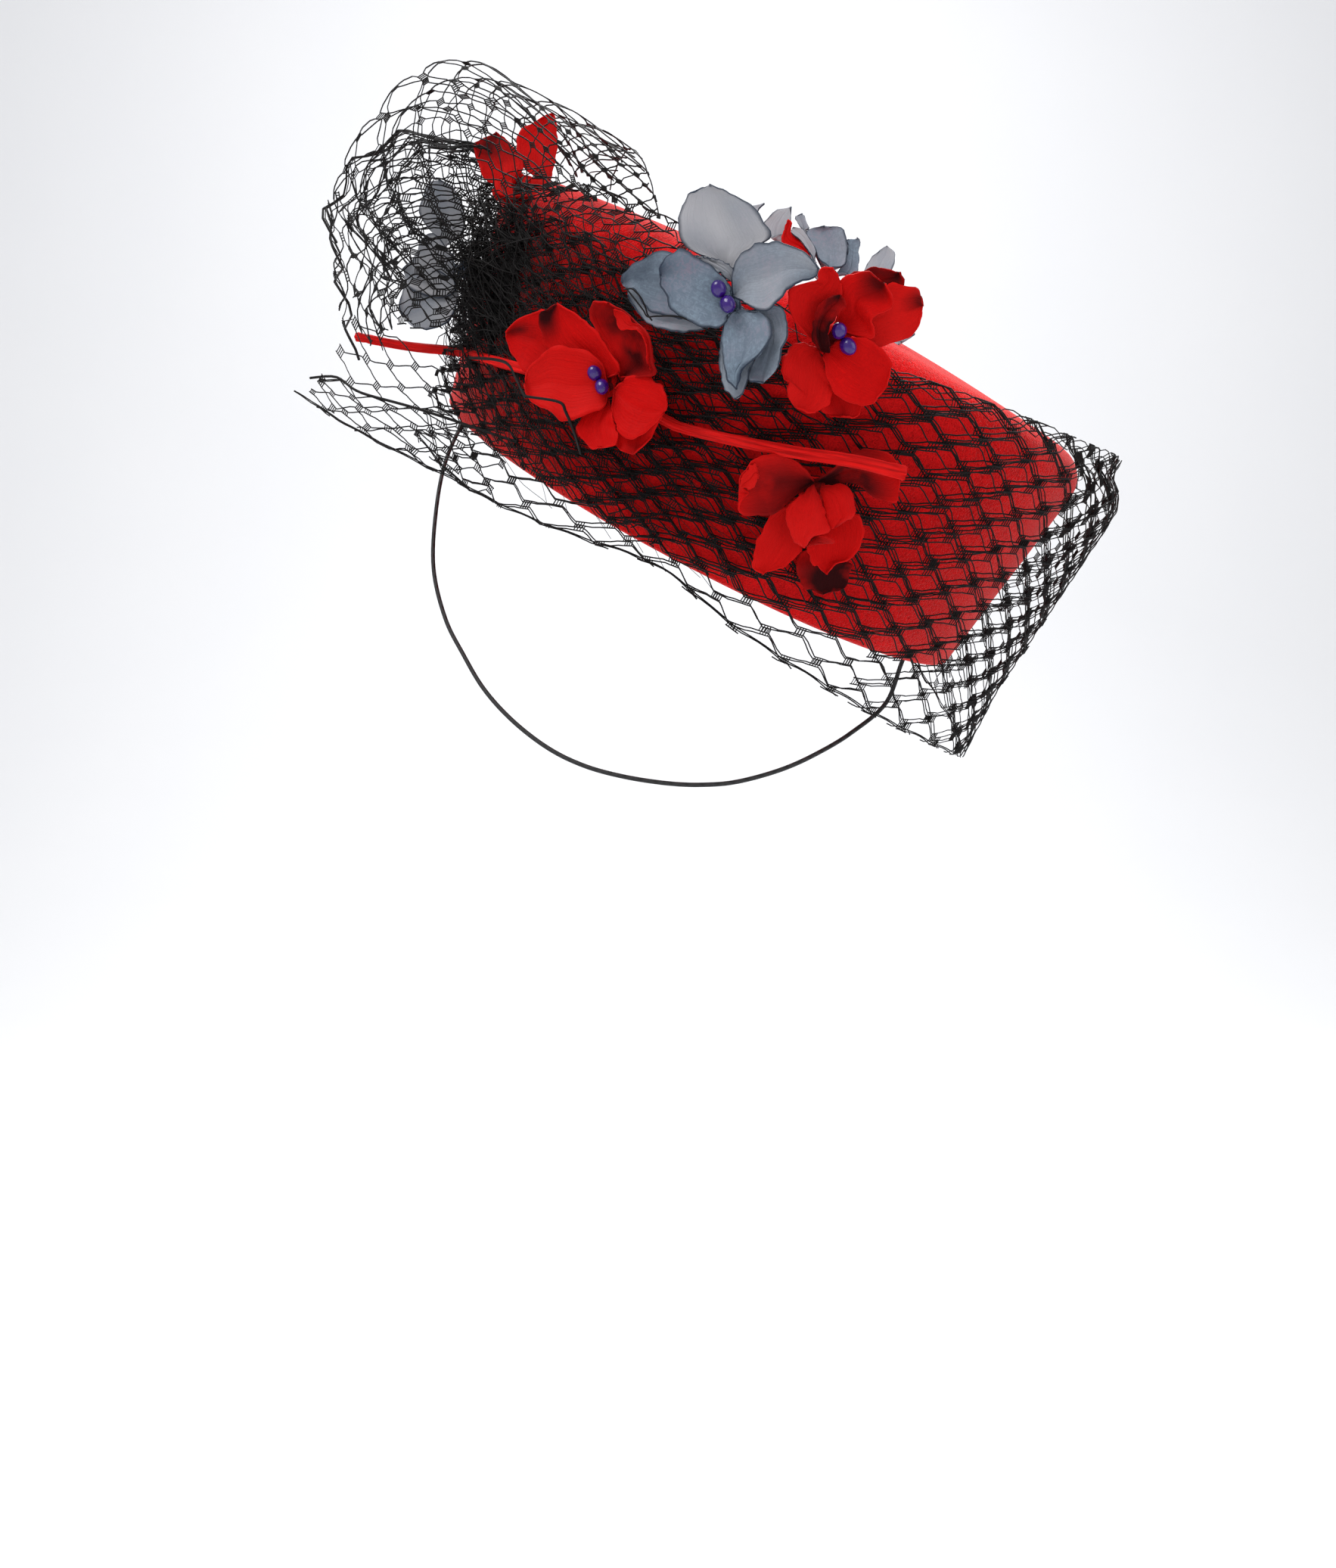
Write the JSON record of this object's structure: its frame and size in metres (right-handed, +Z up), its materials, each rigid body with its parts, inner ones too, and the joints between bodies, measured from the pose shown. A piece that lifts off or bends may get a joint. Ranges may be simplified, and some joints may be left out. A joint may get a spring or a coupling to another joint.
{
  "type": "pillbox hat",
  "caption": "Tilted oval pillbox hat of felt with a gathered net veil, a spray of silk flowers at the front and an elastic chin cord, as worn.",
  "frame": {"origin": "centre of the rim's opening, in the plane of the rim, where the hat sits on the head", "axes": "+Z up as the head stands, front of the hat towards -Y, +X towards the wearer's left; the crown leans 37 degrees, towards +X and forward"},
  "size_m": [0.2279, 0.2057, 0.188],
  "materials": {
    "red_felt": "soft wool felt",
    "black_net": "stiff open netting",
    "red_silk": "matt pressed silk petals, dark at some tips",
    "blue_silk": "matt pressed silk petals, blue-grey",
    "violet_bead": "glossy, opaque",
    "red_ribbon": "wrapped ribbon",
    "black_elastic": "round braided elastic"
  },
  "bodies": {
    "root": {"hat_shell": "red_felt", "veil_band": "black_net", "veil_fan": "black_net", "veil_pouf": "black_net", "veil_gather": "black_net", "flower_red_front": "red_silk", "flower_red_right": "red_silk", "flower_red_drooping": "red_silk", "flower_red_behind": "red_silk", "flower_red_left": "red_silk", "flower_blue_large": "blue_silk", "flower_blue_behind": "blue_silk", "flower_blue_left": "blue_silk", "bead_red_front_1": "violet_bead", "bead_red_front_2": "violet_bead", "bead_red_right_1": "violet_bead", "bead_red_right_2": "violet_bead", "bead_blue_large_1": "violet_bead", "bead_blue_large_2": "violet_bead", "stem_left": "red_ribbon", "stem_right": "red_ribbon", "elastic_cord": "black_elastic"}
  },
  "joints": []
}
